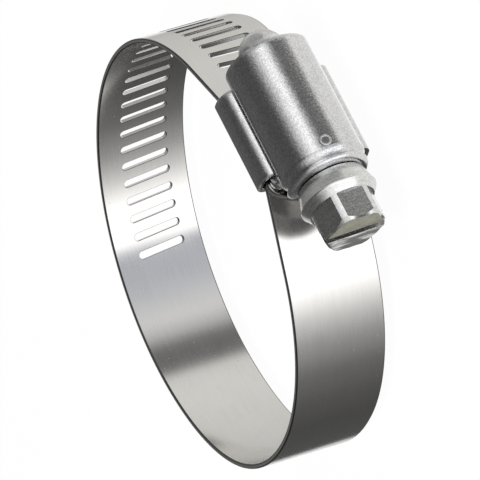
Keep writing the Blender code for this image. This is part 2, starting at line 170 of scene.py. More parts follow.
class Finish:
    """A node tree being filled: one method adds any node, the rest name the common ones."""

    def __init__(self, owner):
        owner.use_nodes = True
        self.tree = owner.node_tree
        self.tree.nodes.clear()

    def connect(self, entry, item):
        """Links a value or a socket to an input, or sets anything else on it."""
        if isinstance(item, Value):
            item = item.socket
        if isinstance(item, bpy.types.NodeSocket):
            self.tree.links.new(item, entry)
        else:
            entry.default_value = item

    def node(self, kind, settings=(), **inputs):
        """Adds a node. The spaces in its inputs' names are written as underscores."""
        node = self.tree.nodes.new(kind)
        for key, item in dict(settings).items():
            if key == "stops":
                for _ in range(len(item) - 2):
                    node.color_ramp.elements.new(0.5)
                for element, (place, colour) in zip(node.color_ramp.elements, item):
                    element.position = place
                    element.color = (*colour, 1)
            else:
                setattr(node, key, item)
        for key, item in inputs.items():
            self.connect(node.inputs[key.replace("_", " ")], item)
        return node

    def value(self, socket):
        return Value(self.tree, socket)

    def place(self, stretch, output="Object"):
        """A point on the piece, scaled on each axis, so that a pattern can be finer one way than another."""
        coordinates = self.node("ShaderNodeTexCoord").outputs[output]
        mapping = self.node("ShaderNodeMapping", Vector=coordinates, Scale=stretch)
        return mapping.outputs["Vector"]

    def axes(self, vector):
        """A vector's three parts as values."""
        return [self.value(output) for output in self.node("ShaderNodeSeparateXYZ", Vector=vector).outputs]

    def noise(self, stretch, scale, detail=2.0, roughness=0.5, output="Object"):
        vector = self.place(stretch, output)
        node = self.node("ShaderNodeTexNoise", Vector=vector, Scale=scale, Detail=detail, Roughness=roughness)
        return self.value(node.outputs["Fac"])

    def between(self, value, low, high):
        """0 below low, 1 above high and smooth between."""
        settings = {"interpolation_type": "SMOOTHSTEP"}
        node = self.node("ShaderNodeMapRange", settings, Value=value, From_Min=low, From_Max=high)
        return self.value(node.outputs["Result"])

    def mix(self, factor, first, second):
        """The first colour where the factor is 0 and the second where it is 1. A plain colour is a tuple."""
        node = self.node("ShaderNodeMix", {"data_type": "RGBA"})
        for index, item in zip(MIX_INPUTS, (factor, first, second)):
            self.connect(node.inputs[index], (*item, 1) if isinstance(item, tuple) else item)
        return node.outputs[MIX_OUTPUT]

    def bump(self, height, strength, distance):
        node = self.node("ShaderNodeBump", Height=height, Strength=strength, Distance=distance)
        return node.outputs["Normal"]

    def metal(self, colour, roughness, normal, anisotropic=0.0, metallic=1.0):
        shader = self.node("ShaderNodeBsdfPrincipled", Base_Color=colour, Roughness=roughness, Normal=normal)
        self.connect(shader.inputs["Metallic"], metallic)
        self.connect(shader.inputs["Anisotropic"], anisotropic)
        self.node("ShaderNodeOutputMaterial", Surface=shader.outputs["BSDF"])


def grey(level):
    return (level, level, level)


def shade(colour, factor):
    return tuple(min(1, channel * factor) for channel in colour)


def band_finish(colour):
    """Rolled strip: fine grain along its length, on the strip's own unrolled map."""
    material = bpy.data.materials.new("band_steel_brushed")
    finish = Finish(material)
    fine = finish.noise((260, 5200, 1), 1.0, 3.0, 0.6, "UV")
    broad = finish.noise((60, 900, 1), 1.0, output="UV")
    cloud = finish.noise((260, 260, 1), 1.0, 3.0, output="UV")
    specks = finish.between(finish.noise((2600, 2600, 1), 1.0, output="UV"), 0.66, 0.76)
    streak = (fine * 0.75 + broad * 0.25).clamped()
    tone = finish.between(streak, 0.3, 0.7)
    base = finish.mix(tone, shade(colour, 0.96), shade(colour, 1.03))
    base = finish.mix(finish.between(cloud, 0.35, 0.65) * 0.5, base, shade(colour, 1.04))
    roughness = 0.14 + 0.02 * tone + 0.03 * cloud + 0.16 * specks
    # Painted shade: where the eased attribute is 1, on the rims and round the slots, the colour goes near
    # black as thin shadow lines.
    eased = finish.value(finish.node("ShaderNodeAttribute", {"attribute_name": "eased"}).outputs["Fac"])
    base = finish.mix(eased, base, shade(colour, 0.16))
    finish.metal(base, roughness, finish.bump(streak + specks * 0.5, 0.12, 0.01 * MM), anisotropic=0.3)
    return material


def sheet_finish(name, colour, rough):
    """Pressed sheet: satin, with the fine speckle that a press leaves."""
    material = bpy.data.materials.new(name)
    finish = Finish(material)
    speckle = finish.noise(EVEN, 3800, 3.0, 0.7)
    cloud = finish.noise(EVEN, 520)
    drawn = finish.noise((0.5, 1, 1), 2200, 2.0, 0.6)
    tone = finish.between(speckle * 0.8 + drawn * 0.2, 0.38, 0.62)
    base = finish.mix(tone, shade(colour, 0.82), shade(colour, 1.12))
    roughness = rough + 0.04 * tone + 0.04 * cloud
    height = speckle + cloud * 0.6 + drawn * 0.2
    finish.metal(base, roughness, finish.bump(height, 0.8, 0.026 * MM))
    return material


# The screw's end face, as a dark and a light colour for each half, painted light on a flat face: its outer
# half an olive painted reflection, the other near black painted shade with saw streaks as white painted
# highlights
OLIVE_REFLECTION_HALF = ((0.38, 0.37, 0.30), (0.54, 0.53, 0.44))
STREAK_AND_SHADE_HALF = ((0.24, 0.24, 0.23), (1, 1, 0.98))


def turned_finish(name, colour, rough, end_x):
    """Turned and pressed steel: faint rings round the screw's axis, and an end face of two halves in painted
    reflection, shade and highlight.
    """
    material = bpy.data.materials.new(name)
    finish = Finish(material)
    speckle = finish.noise(EVEN, 3600, 3.0, 0.6)
    rings = finish.noise((6, 0.4, 0.4), 900)
    cloud = finish.noise(EVEN, 380)
    tone = finish.between(speckle * 0.6 + rings * 0.4, 0.35, 0.65)
    base = finish.mix(tone, shade(colour, 0.82), shade(colour, 1.12))
    roughness = rough + 0.06 * tone + 0.06 * cloud
    x, y, _ = finish.axes(finish.place(EVEN))
    end = finish.between(-x, end_x - 0.04 * MM, end_x - 0.01 * MM)
    streaks = finish.between(finish.noise((1, 1, 0.16), 1500, 3.0, 0.6), 0.45, 0.66)
    # Painted reflection and shade: the flat end face is split at the screw's axis into an olive outer half
    # and a near black half with white streaks.
    outer = finish.between(JOINT_POS.y - y, 0, 0.1 * MM)
    face = finish.mix(outer, finish.mix(streaks, *STREAK_AND_SHADE_HALF), finish.mix(tone, *OLIVE_REFLECTION_HALF))
    base = finish.mix(end, base, face)
    roughness = roughness + end * 0.2
    height = speckle * 0.8 + rings * 0.4 + cloud
    finish.metal(base, roughness, finish.bump(height, 0.6, 0.025 * MM), metallic=1 - end * 0.5)
    return material


# Modelling


def steps(first, last, count):
    return [first + (last - first) * i / count for i in range(count + 1)]


def eased(count, evenness=0.0):
    """Shares from 0 to 1 without the first, as (even share, share that starts and ends softly)."""
    shares = []
    for t in steps(0, 1, count)[1:]:
        soft = (1 - math.cos(math.pi * t)) / 2
        shares.append((t, evenness * t + (1 - evenness) * soft))
    return shares


def link(name, data):
    obj = bpy.data.objects.new(name, data)
    bpy.context.scene.collection.objects.link(obj)
    return obj


def verts_of(geom):
    return [item for item in geom if isinstance(item, bmesh.types.BMVert)]


def edges_where(edges, test):
    """The edges whose two ends both pass a test of their place."""
    return [e for e in edges if all(test(v.co) for v in e.verts)]


def round_off(bm, geom, size, segments, affect="EDGES"):
    bmesh.ops.bevel(bm, geom=geom, offset=size, segments=segments, profile=0.5, affect=affect, material=-1)


def add_piece(name, bm, material, body, node, sharp=30, smooth=True):
    """Places a bmesh round the hoop's centre as a finished piece that rides on a body in place of a node."""
    bmesh.ops.translate(bm, verts=bm.verts, vec=hoop_centre())
    mesh = bpy.data.meshes.new(name)
    bm.to_mesh(mesh)
    bm.free()
    if smooth:
        mesh.shade_smooth()
        mesh.set_sharp_from_angle(angle=math.radians(sharp))
    mesh.materials.append(material)
    obj = link(name, mesh)
    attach(obj, body)
    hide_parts(node)
    return obj


def hoop_centre():
    """The hoop's centre: the screw's joint lies outward of it by the screw's height."""
    return Vector((0, JOINT_POS.y + stack()["screw"], JOINT_POS.z))


# From one layer to the next, from the band's edge in to the flange's, and from the band to the screw's core
LAYER_GAP = 0.1 * MM
FLANGE_INSET = 0.4 * MM
CORE_GAP = 0.25 * MM

# The foot's bend is a little tighter than the solid's, and the lips end nearer to the barrel
FOOT_RADIUS = 0.5 * MM
LIP_CLEARANCE = 0.08 * MM


def stack():
    """Heights of the layers between the hoop and the screw, and the sizes that follow from them."""
    band = bpy.context.scene.clamp_band
    housing = bpy.context.scene.clamp_housing
    screw = bpy.context.scene.clamp_screw
    inner = band.outer_radius - band.thickness
    start = inner + housing.saddle_sheet + LAYER_GAP + band.thickness / 2
    free = start + band.thickness + LAYER_GAP
    height = free - band.thickness / 2 + screw.worm_radius
    flange = free + band.thickness / 2 + LAYER_GAP
    barrel = housing.radius - housing.sheet / 2
    drop = height - flange - housing.sheet / 2
    foot_drop = drop - FOOT_RADIUS
    foot = math.sqrt((barrel + FOOT_RADIUS) ** 2 - foot_drop**2)
    lip = flange + housing.sheet + LAYER_GAP
    lip_drop = height - lip - housing.saddle_sheet
    return {
        "inner": inner,
        "middle": band.outer_radius - band.thickness / 2,
        "start": start,
        "free": free,
        "screw": height,
        "lip": lip,
        "lip_end": math.sqrt(housing.radius**2 - lip_drop**2) + LIP_CLEARANCE,
        "drop": drop,
        "foot_drop": foot_drop,
        "foot": foot,
        "foot_angle": math.atan2(foot, foot_drop),
        "flange_half": band.width / 2 - FLANGE_INSET,
        "core": screw.worm_radius - band.thickness - CORE_GAP,
        "neck": screw.worm_radius - band.thickness - LAYER_GAP,
    }


# The band's path and the saddle's two ends are the same as the solid's
FRONT_BEND = 1.2 * MM
FRONT_BEND_CLEARANCE = 0.4 * MM
FIXED_END_GAP = 1.0 * MM
REAR_BEND = 6.0 * MM
TAIL_REACH = 11.0 * MM
TAIL_CORNER = 2.2 * MM
SADDLE_FRONT = 8.4 * MM
SADDLE_REAR = 4.6 * MM
FIRST_SLOT_ANGLE = math.radians(149.8)

# Which stretches of the path are the bend at the saddle's rear and the hoop, and how far their steps turn
REAR_BEND_STRETCH = 1
HOOP_STRETCH = 3
BEND_STEP = math.radians(4)
HOOP_STEP = math.radians(2)


def band_path():
    """The band's middle line from the tail's tip to its fixed end, as (length, turn) for each stretch."""
    levels = stack()
    band = bpy.context.scene.clamp_band
    middle = levels["middle"]
    height = levels["inner"] + bpy.context.scene.clamp_housing.saddle_sheet + LAYER_GAP

    def leave(reach):
        return math.atan2(reach, height) + math.acos(levels["inner"] / math.hypot(reach, height))

    def corner(angle, level):
        return (middle - level * math.cos(angle)) / math.sin(angle)

    rear = leave(SADDLE_REAR)
    front = leave(SADDLE_FRONT + FRONT_BEND_CLEARANCE)
    rear_corner = corner(rear, levels["free"])
    front_corner = corner(front, levels["start"])
    rear_bend = REAR_BEND + band.thickness / 2
    front_bend = FRONT_BEND + band.thickness / 2
    rear_cut = rear_bend * math.tan(rear / 2)
    front_cut = front_bend * math.tan(front / 2)
    rear_run = math.sqrt(rear_corner**2 + levels["free"] ** 2 - middle**2)
    front_run = math.sqrt(front_corner**2 + levels["start"] ** 2 - middle**2)
    hoop = 2 * math.pi - rear - front
    return [
        (TAIL_REACH + rear_corner - rear_cut, 0),
        (rear_bend * rear, rear),
        (rear_run - rear_cut, 0),
        (middle * hoop, hoop),
        (front_run - front_cut, 0),
        (front_bend * front, front),
        (front_corner - front_cut + rear_corner - rear_cut - FIXED_END_GAP, 0),
    ]


def on_path(path, distance):
    """Where the path is at a distance along it, as (x, height, heading)."""
    x, height, heading = -TAIL_REACH, stack()["free"], 0
    for index, (length, turn) in enumerate(path):
        last = index == len(path) - 1
        run = distance if last else min(distance, length)
        if turn:
            radius = length / turn
            centre = (x - radius * math.sin(heading), height - radius * math.cos(heading))
            heading += run / radius
            x = centre[0] + radius * math.sin(heading)
            height = centre[1] + radius * math.cos(heading)
        else:
            x += run * math.cos(heading)
            height -= run * math.sin(heading)
        distance -= run
        if distance <= 0:
            break
    return x, height, heading


SLOT_SEGMENTS = 20
TAIL_CORNER_SEGMENTS = 8
OUTLINE_EASE = 0.16 * MM
SLOT_EASE = 0.06 * MM

# In the flat strip: how far a flat face's normal rises, or a cut wall's, and how sharply its rims turn
FLAT_RISE = 0.99
WALL_RISE = 0.05
RIM_ANGLE = math.radians(70)

# Where the hoop stands off its true circle, as (angle, reach either way, at the +Z edge, at the -Z edge)
STAND_OFFS = [
    (math.radians(306), math.radians(19), 0, 0.62 * MM),
    (math.radians(498), math.radians(40), 0.3 * MM, 0.58 * MM),
]


def hoop_start(path):
    return sum(length for length, _ in path[:HOOP_STRETCH])


def slot_middles(path):
    """How far along the path each slot is. The last one's angle is known, and the rest run to the tail."""
    band = bpy.context.scene.clamp_band
    last = hoop_start(path) + stack()["middle"] * (FIRST_SLOT_ANGLE - path[REAR_BEND_STRETCH][1])
    room = last - band.slot_pitch / 2 - TAIL_CORNER
    count = int(room / band.slot_pitch) + 1
    return [last - band.slot_pitch * (count - 1 - i) for i in range(count)]


def slot_cell(bm, middle):
    """One pitch of flat strip round a round-ended slot that leans with the thread."""
    band = bpy.context.scene.clamp_band
    half = SLOT_SEGMENTS // 2
    turn = Matrix.Rotation(math.pi / SLOT_SEGMENTS, 4, "Z")
    radius = band.slot_width / 2
    straight = band.slot_length / 2 - radius
    edge = band.width / 2
    pitch = band.slot_pitch / 2
    lean = band.slot_pitch / (2 * math.pi * bpy.context.scene.clamp_screw.worm_radius)
    inner = bmesh.ops.create_circle(bm, segments=SLOT_SEGMENTS, radius=radius, matrix=turn)["verts"]
    outer = bmesh.ops.create_circle(bm, segments=SLOT_SEGMENTS, radius=edge, matrix=turn)["verts"]
    for hole, rim in zip(inner, outer):
        side = math.copysign(1, hole.co.y)
        hole.co.y += side * straight - band.slot_shift
        hole.co.x += hole.co.y * lean
        angle = math.atan2(abs(rim.co.y), rim.co.x)
        index = round(angle / math.pi * half - 0.5)
        if index in (0, half - 1):
            rim.co = (math.copysign(pitch, rim.co.x), side * straight - band.slot_shift, 0)
        else:
            share = 1 - 2 * (index - 1) / (half - 3)
            rim.co = (pitch * share, side * edge, 0)
    edges = list({e for v in inner + outer for e in v.link_edges})
    bmesh.ops.bridge_loops(bm, edges=edges)
    bmesh.ops.translate(bm, verts=inner + outer, vec=(middle, 0, 0))


def extend_strip(bm, places, sign):
    """Extrudes the strip's end edges on to each place in turn."""
    for place in places:
        end = max(sign * v.co.x for v in bm.verts)
        border = [e for e in bm.edges if e.is_boundary]
        edges = edges_where(border, lambda point: sign * point.x > end - CLOSE)
        fresh = bmesh.ops.extrude_edge_only(bm, edges=edges)["geom"]
        for vert in verts_of(fresh):
            vert.co.x = place


def plain_stations(path, first):
    """Places along the path beyond the slots where the strip is divided, closer together where it bends."""
    stations = []
    start = 0
    for index, (length, turn) in enumerate(path):
        end = start + length
        if end > first:
            low = max(start, first)
            step = HOOP_STEP if index == HOOP_STRETCH else BEND_STEP
            count = max(1, math.ceil(turn * (end - low) / length / step))
            stations += steps(low, end, count)[1:]
        start = end
    return stations


def punched_strip(path, middles):
    """The flat strip with its slots, its rounded tail and its thickness."""
    band = bpy.context.scene.clamp_band
    bm = bmesh.new()
    for middle in middles:
        slot_cell(bm, middle)
    bmesh.ops.remove_doubles(bm, verts=bm.verts, dist=2 * CLOSE)
    extend_strip(bm, [0], -1)
    corners = [v for v in bm.verts if v.co.x < NEAR and abs(v.co.y) > band.width / 2 - NEAR]
    round_off(bm, corners, TAIL_CORNER, TAIL_CORNER_SEGMENTS, "VERTICES")
    extend_strip(bm, plain_stations(path, middles[-1] + band.slot_pitch / 2), 1)
    bmesh.ops.recalc_face_normals(bm, faces=bm.faces)
    if bm.faces[:][0].normal.z < 0:
        bmesh.ops.reverse_faces(bm, faces=bm.faces)
    top = bmesh.ops.extrude_face_region(bm, geom=bm.faces[:])["geom"]
    bmesh.ops.translate(bm, verts=verts_of(top), vec=(0, 0, band.thickness))
    bmesh.ops.recalc_face_normals(bm, faces=bm.faces)
    return bm


def ease_strip(bm, middles):
    """Eases the flat strip's outline, and the rims of its slots less."""
    band = bpy.context.scene.clamp_band
    half_slot = band.slot_length / 2 + 2 * NEAR
    low = middles[0] - band.slot_width
    high = middles[-1] + band.slot_width
    slots = []
    outline = []
    for edge in bm.edges:
        first, second = (vert.co for vert in edge.verts)
        if len(edge.link_faces) != 2 or edge.calc_face_angle() < RIM_ANGLE or abs(first.z - second.z) > NEAR:
            continue
        middle = (first + second) / 2
        in_slots = low < middle.x < high and abs(middle.y + band.slot_shift) < half_slot
        (slots if in_slots else outline).append(edge)
    round_off(bm, outline, OUTLINE_EASE, 3)
    round_off(bm, [e for e in slots if e.is_valid], SLOT_EASE, 2)
    bmesh.ops.recalc_face_normals(bm, faces=bm.faces)
    bm.normal_update()


def strip_kind(face):
    """Whether a face of the flat strip is flat, a cut wall or the eased edge between them."""
    rise = abs(face.normal.z)
    return "flat" if rise > FLAT_RISE else "wall" if rise < WALL_RISE else "ease"


def mark_strip(bm):
    """Lays out the strip's unrolled map and flags its eased edges, which the band's material paints dark as
    painted shade.
    """
    strip = bm.loops.layers.uv.new("strip")
    # Painted shade: loops on the eased edges get 1, and the band's material paints them near black as shadow
    # lines along the rims and round the slots.
    rim_shade_marks = bm.loops.layers.float.new("eased")
    for face in bm.faces:
        for loop in face.loops:
            loop[strip].uv = (loop.vert.co.x, loop.vert.co.y)
            loop[rim_shade_marks] = strip_kind(face) == "ease"


def strip_normals(bm):
    """Normals of the flat strip, corner by corner: its faces and walls stay true and the eased edges turn."""
    kinds = {face: strip_kind(face) for face in bm.faces}
    normals = []
    for face in bm.faces:
        for loop in face.loops:
            sums = {}
            for other in loop.vert.link_faces:
                sums[kinds[other]] = sums.get(kinds[other], Vector()) + other.normal * other.calc_area()
            kind = kinds[face]
            if kind == "ease":
                kind = next(name for name in ("flat", "wall", "ease") if name in sums)
            normals.append(sums[kind].normalized())
    return normals


def wrap(bm, path, normals):
    """Bends the flat strip round its path and returns its normals turned with it."""
    band = bpy.context.scene.clamp_band
    middle = stack()["middle"]
    start = hoop_start(path)
    first = 1.5 * math.pi + path[REAR_BEND_STRETCH][1]
    headings = {}
    for vert in bm.verts:
        x, height, heading = on_path(path, vert.co.x)
        angle = first + (vert.co.x - start) / middle
        side = 0.5 - vert.co.y / band.width
        offset = vert.co.z - band.thickness / 2
        for place, reach, near, far in STAND_OFFS:
            share = max(0, 1 - abs(angle - place) / reach)
            offset += (near + (far - near) * side) * share**2 * (3 - 2 * share)
        headings[vert] = (math.cos(heading), math.sin(heading))
        vert.co = (x + offset * math.sin(heading), -height - offset * math.cos(heading), vert.co.y)
    corners = [loop.vert for face in bm.faces for loop in face.loops]
    turned = []
    for vert, (along, across, out) in zip(corners, normals):
        cosine, sine = headings[vert]
        turned.append((along * cosine + out * sine, along * sine - out * cosine, across))
    return turned


def build_band():
    """The strip is punched flat, thickened and eased, then wrapped round its path."""
    band = bpy.context.scene.clamp_band
    path = band_path()
    middles = slot_middles(path)
    bm = punched_strip(path, middles)
    ease_strip(bm, middles)
    mark_strip(bm)
    normals = wrap(bm, path, strip_normals(bm))
    piece = add_piece("band_strip", bm, band_finish(band.colour), "clamp", "band", smooth=False)
    piece.data.shade_smooth()
    piece.data.normals_split_custom_set(normals)


# The sheets' edges are eased where they turn by more than this
EASE_ANGLE = math.radians(55)


def thicken(obj, thickness, ease, offset=0):
    """Gives a middle surface, or with offset -1 an outer one, its sheet and eases the cut edges."""
    solid = obj.modifiers.new("sheet", "SOLIDIFY")
    solid.thickness = thickness
    solid.offset = offset
    solid.use_even_offset = True
    solid.use_quality_normals = True
    bevel = obj.modifiers.new("ease", "BEVEL")
    bevel.width = ease
    bevel.segments = 3
    bevel.limit_method = "ANGLE"
    bevel.angle_limit = EASE_ANGLE


SADDLE_SHIFT = 0.5 * MM
STRAP_BEND = 0.9 * MM
LIP_BEND = 1.35 * MM
FOLD_CLEARANCE = 0.2 * MM
# The +Z fold's own bend is oval, and its lip is higher than the other
OVAL_WIDTH = 1.7 * MM
OVAL_HEIGHT = 2.35 * MM
OVAL_LIFT = 0.36 * MM
STRAP_BEND_STEPS = 14
LIP_BEND_STEPS = 20
SADDLE_ROWS = 16


def grid_of(bm, rows, columns):
    """A grid of vertices to be shaped, as lists of rows."""
    made = bmesh.ops.create_grid(bm, x_segments=columns - 1, y_segments=rows - 1, size=0.5)["verts"]
    ordered = sorted(made, key=lambda v: (round(v.co.y, 6), round(v.co.x, 6)))
    return [ordered[i * columns : (i + 1) * columns] for i in range(rows)]


def build_saddle():
    """The strap under the band, folded up round the band's edges and down on the flanges."""
    levels = stack()
    housing = bpy.context.scene.clamp_housing
    band = bpy.context.scene.clamp_band
    sheet = housing.saddle_sheet
    wall = band.width / 2 + FOLD_CLEARANCE + SADDLE_SHIFT + sheet / 2
    strap = levels["inner"] + sheet / 2
    lip = levels["lip"] + sheet / 2

    def side(shift, bend, tall, lift):
        """One fold outward from the strap: a round bend, then an oval one that ends beside the barrel."""
        points = []
        centre = wall + shift - STRAP_BEND
        for angle in steps(-math.pi / 2, 0, STRAP_BEND_STEPS):
            points.append((centre + STRAP_BEND * math.cos(angle), strap + STRAP_BEND * (1 + math.sin(angle))))
        centre = wall + shift - bend
        height = lip + lift - tall
        cosine = min(1, max(0, (levels["lip_end"] - centre) / bend))
        for angle in steps(0, math.acos(cosine), LIP_BEND_STEPS):
            points.append((centre + bend * math.cos(angle), height + tall * math.sin(angle)))
        if points[-1][0] > levels["lip_end"] + LAYER_GAP:
            points.append((levels["lip_end"], points[-1][1]))
        return points

    bm = bmesh.new()
    along = steps(-SADDLE_FRONT, SADDLE_REAR, SADDLE_ROWS)
    lower = side(SADDLE_SHIFT, LIP_BEND, LIP_BEND, 0)
    oval = side(-SADDLE_SHIFT, OVAL_WIDTH, OVAL_HEIGHT, OVAL_LIFT)
    profile = [(-z, height) for z, height in reversed(lower)] + oval
    grid = grid_of(bm, len(along), len(profile))
    for x, row in zip(along, grid):
        for vert, (z, height) in zip(row, profile):
            vert.co = (x, -height, z)
    bmesh.ops.recalc_face_normals(bm, faces=bm.faces)
    material = sheet_finish("saddle_steel_pressed", housing.colour, 0.12)
    saddle = add_piece("saddle_strap", bm, material, "clamp", "saddle")
    thicken(saddle, sheet, housing.edge_ease)


HOUSING_REAR = 6.4 * MM
REAR_ROWS = 2
FLANGE_OVERHANG = 0.3 * MM
FLANGE_ROWS = 12
FLARE_ROWS = 10
NECK_ROWS = 12
LIP_ROWS = 8
MOUTH_ROWS = 3
NECK_START = 10.45 * MM
CREASE_LENGTH = 0.95 * MM
CREASE_DEPTH = 0.58 * MM
CREASE_EVENNESS = 0.75
RIDGE_LENGTH = 0.4 * MM
RIDGE_DROP = 0.15 * MM
CREST_RADIUS = 0.35 * MM
CREST_TURN = math.radians(25)
LIP_RADIUS = 1.04 * MM
MOUTH_CLEARANCE = 0.2 * MM
RING_END_ANGLE = math.radians(69)
RING_ARC_ANGLE = math.radians(80)
RING_PLACE = 9.5 * MM
RING_ANGLE = math.radians(5.5)
RING_RADIUS = 0.64 * MM
RING_SECTION = 0.18 * MM
RING_SEAT = 0.11 * MM


def housing_stations(levels):
    """Rows of the housing's outer surface from rear to front, as (x, radius, flare of the foot)."""
    barrel = bpy.context.scene.clamp_housing.radius
    flange_end = -SADDLE_FRONT - FLANGE_OVERHANG
    crease = -NECK_START - CREASE_LENGTH
    ridge = crease - RIDGE_LENGTH
    crease_radius = barrel - CREASE_DEPTH
    ridge_radius = barrel - RIDGE_DROP
    flange_rear = SADDLE_REAR + FLANGE_OVERHANG
    rows = [(x, barrel, 1) for x in steps(HOUSING_REAR, flange_rear, REAR_ROWS)]
    rows += [(x, barrel, 1) for x in steps(flange_rear, flange_end, FLANGE_ROWS)[1:]]
    for t, blend in eased(FLARE_ROWS):
        rows.append((flange_end - (NECK_START + flange_end) * t, barrel, 1 - blend))
    for t, blend in eased(NECK_ROWS, CREASE_EVENNESS):
        rows.append((-NECK_START - CREASE_LENGTH * t, barrel - CREASE_DEPTH * blend, 0))
    for t, blend in eased(NECK_ROWS, CREASE_EVENNESS):
        climb = (ridge_radius - crease_radius) * blend
        rows.append((crease - RIDGE_LENGTH * t, crease_radius + climb, 0))
    for bend, first, last in ((CREST_RADIUS, 0, CREST_TURN), (LIP_RADIUS, CREST_TURN, math.pi / 2)):
        x, radius, _ = rows[-1]
        for angle in steps(first, last, LIP_ROWS)[1:]:
            forward = bend * (math.sin(angle) - math.sin(first))
            rows.append((x - forward, radius - bend * (math.cos(first) - math.cos(angle)), 0))
    mouth = steps(rows[-1][1], levels["neck"] + MOUTH_CLEARANCE, MOUTH_ROWS)[1:]
    return rows + [(rows[-1][0], radius, 0) for radius in mouth]


FOOT_STEPS = 12
BARREL_STEPS = 88


def housing_row(levels, radius, flare):
    """The section at one place: a barrel whose two lower ends flare into flanges, or stop above the band."""
    half_sheet = bpy.context.scene.clamp_housing.sheet / 2
    flange = [(levels["flange_half"], levels["drop"] - half_sheet)]
    for angle in steps(0, math.pi - levels["foot_angle"], FOOT_STEPS)[:-1]:
        z = levels["foot"] - (FOOT_RADIUS - half_sheet) * math.sin(angle)
        flange.append((z, levels["foot_drop"] + (FOOT_RADIUS - half_sheet) * math.cos(angle)))
    foot = []
    for (z, drop), angle in zip(flange, steps(RING_END_ANGLE, RING_ARC_ANGLE, len(flange))):
        ring_z = radius * math.sin(angle)
        ring_drop = radius * math.cos(angle)
        foot.append((ring_z + (z - ring_z) * flare, ring_drop + (drop - ring_drop) * flare))
    first = RING_ARC_ANGLE + (levels["foot_angle"] - RING_ARC_ANGLE) * flare
    arc = [
        (radius * math.sin(angle), radius * math.cos(angle))
        for angle in steps(first, 2 * math.pi - first, BARREL_STEPS)
    ]
    return foot + arc + [(-z, drop) for z, drop in reversed(foot)]


def build_housing():
    """The pressed barrel: a grid shaped row by row, without flanges behind the saddle."""
    levels = stack()
    housing = bpy.context.scene.clamp_housing
    stations = housing_stations(levels)
    rows = [housing_row(levels, radius, flare) for _, radius, flare in stations]
    bm = bmesh.new()
    grid = grid_of(bm, len(rows), len(rows[0]))
    for (x, _, _), points, row in zip(stations, rows, grid):
        for vert, (z, drop) in zip(row, points):
            vert.co = (x, drop - levels["screw"], z)
    feet = FOOT_STEPS + 1
    bare = [v for row in grid[:REAR_ROWS] for v in row[: feet - 1] + row[-feet + 1 :]]
    bmesh.ops.delete(bm, geom=bare, context="VERTS")
    bmesh.ops.recalc_face_normals(bm, faces=bm.faces)
    crown = min(bm.faces, key=lambda face: face.calc_center_median().y)
    if crown.normal.y > 0:
        bmesh.ops.reverse_faces(bm, faces=bm.faces)
    material = sheet_finish("housing_steel_pressed", housing.colour, 0.10)
    shell = add_piece("housing_shell", bm, material, "clamp", "housing")
    thicken(shell, housing.sheet, housing.edge_ease, offset=-1)
    add_pressed_ring(levels, housing, material)


def add_pressed_ring(levels, housing, material):
    """A small plain ring that stands a little out of the barrel before its neck."""
    bm = bmesh.new()
    section = bmesh.ops.create_circle(bm, segments=16, radius=RING_SECTION)["verts"]
    stand = Matrix.Translation((RING_RADIUS, 0, 0)) @ Matrix.Rotation(math.pi / 2, 4, "X")
    bmesh.ops.transform(bm, matrix=stand, verts=section)
    edges = list({e for v in section for e in v.link_edges})
    bmesh.ops.spin(
        bm, geom=section + edges, cent=(0, 0, 0), axis=(0, 0, 1), angle=2 * math.pi, steps=48, use_merge=True
    )
    bmesh.ops.remove_doubles(bm, verts=bm.verts, dist=CLOSE)
    out = Vector((0, -math.cos(RING_ANGLE), math.sin(RING_ANGLE)))
    seat = Vector((-RING_PLACE, -levels["screw"], 0)) + out * (housing.radius - RING_SEAT)
    turn = Vector((0, 0, 1)).rotation_difference(out).to_matrix().to_4x4()
    bmesh.ops.transform(bm, matrix=Matrix.Translation(seat) @ turn, verts=bm.verts)
    bmesh.ops.recalc_face_normals(bm, faces=bm.faces)
    add_piece("housing_ring", bm, material, "clamp", "housing")


THREAD_FRONT = 8.0 * MM
THREAD_REAR = 6.5 * MM
TIP_SHOULDER = 7.45 * MM
COLLAR_BACK = 12.65 * MM
COLLAR_HEIGHT = 2.55 * MM
COLLAR_BEVEL = 1.0 * MM
# The collar's rim stands out past the hexagon's corners, and the collar tapers from it toward the housing
COLLAR_STEP = 0.84 * MM
COLLAR_TAPER = 0.65 * MM
COLLAR_ROUND = 0.15 * MM
RIM_ROUND = 0.12 * MM
RIM_DROP = 0.02 * MM
EDGE = 0.05 * MM
# The fillet where the collar meets the hexagon, and the rounds where the hexagon's chamfer meets its face
FILLET_LENGTH = 0.1 * MM
FILLET_FOOT = 0.12 * MM
FILLET_TOP = 0.04 * MM
CHAMFER_END = 0.13 * MM
FACE_ROUND = 0.08 * MM
NECK_STEP = 0.25 * MM
HEX_FACE_INSET = 0.35 * MM
HEX_CHAMFER = math.radians(50)
HEX_LENGTH = 4.0 * MM
HEX_TRIM = 0.224 * MM
HEX_SIDE_STEPS = 8
HEX_ARC_STEPS = 6
TIP_STEPS = 10
DRIVER_SLOT_TURN = math.radians(4)
DRIVER_SLOT_EASE = 0.13 * MM


def hex_angles(across, corner):
    """Angles round the head that include the ends of every flat."""
    reach = math.acos(across / 2 / corner)
    angles = []
    for side in range(6):
        middle = -math.pi / 2 + side * math.pi / 3
        angles += [middle + offset for offset in steps(-reach, reach, HEX_SIDE_STEPS)]
        angles += [middle + offset for offset in steps(reach, math.pi / 3 - reach, HEX_ARC_STEPS)[1:-1]]
    return angles


def hex_radius(across, corner, angle):
    """The head's radius at an angle: a flat, or the round that trims the corner."""
    sector = math.pi / 3
    offset = (angle + math.pi / 2 + sector / 2) % sector - sector / 2
    return min(across / 2 / math.cos(offset), corner)


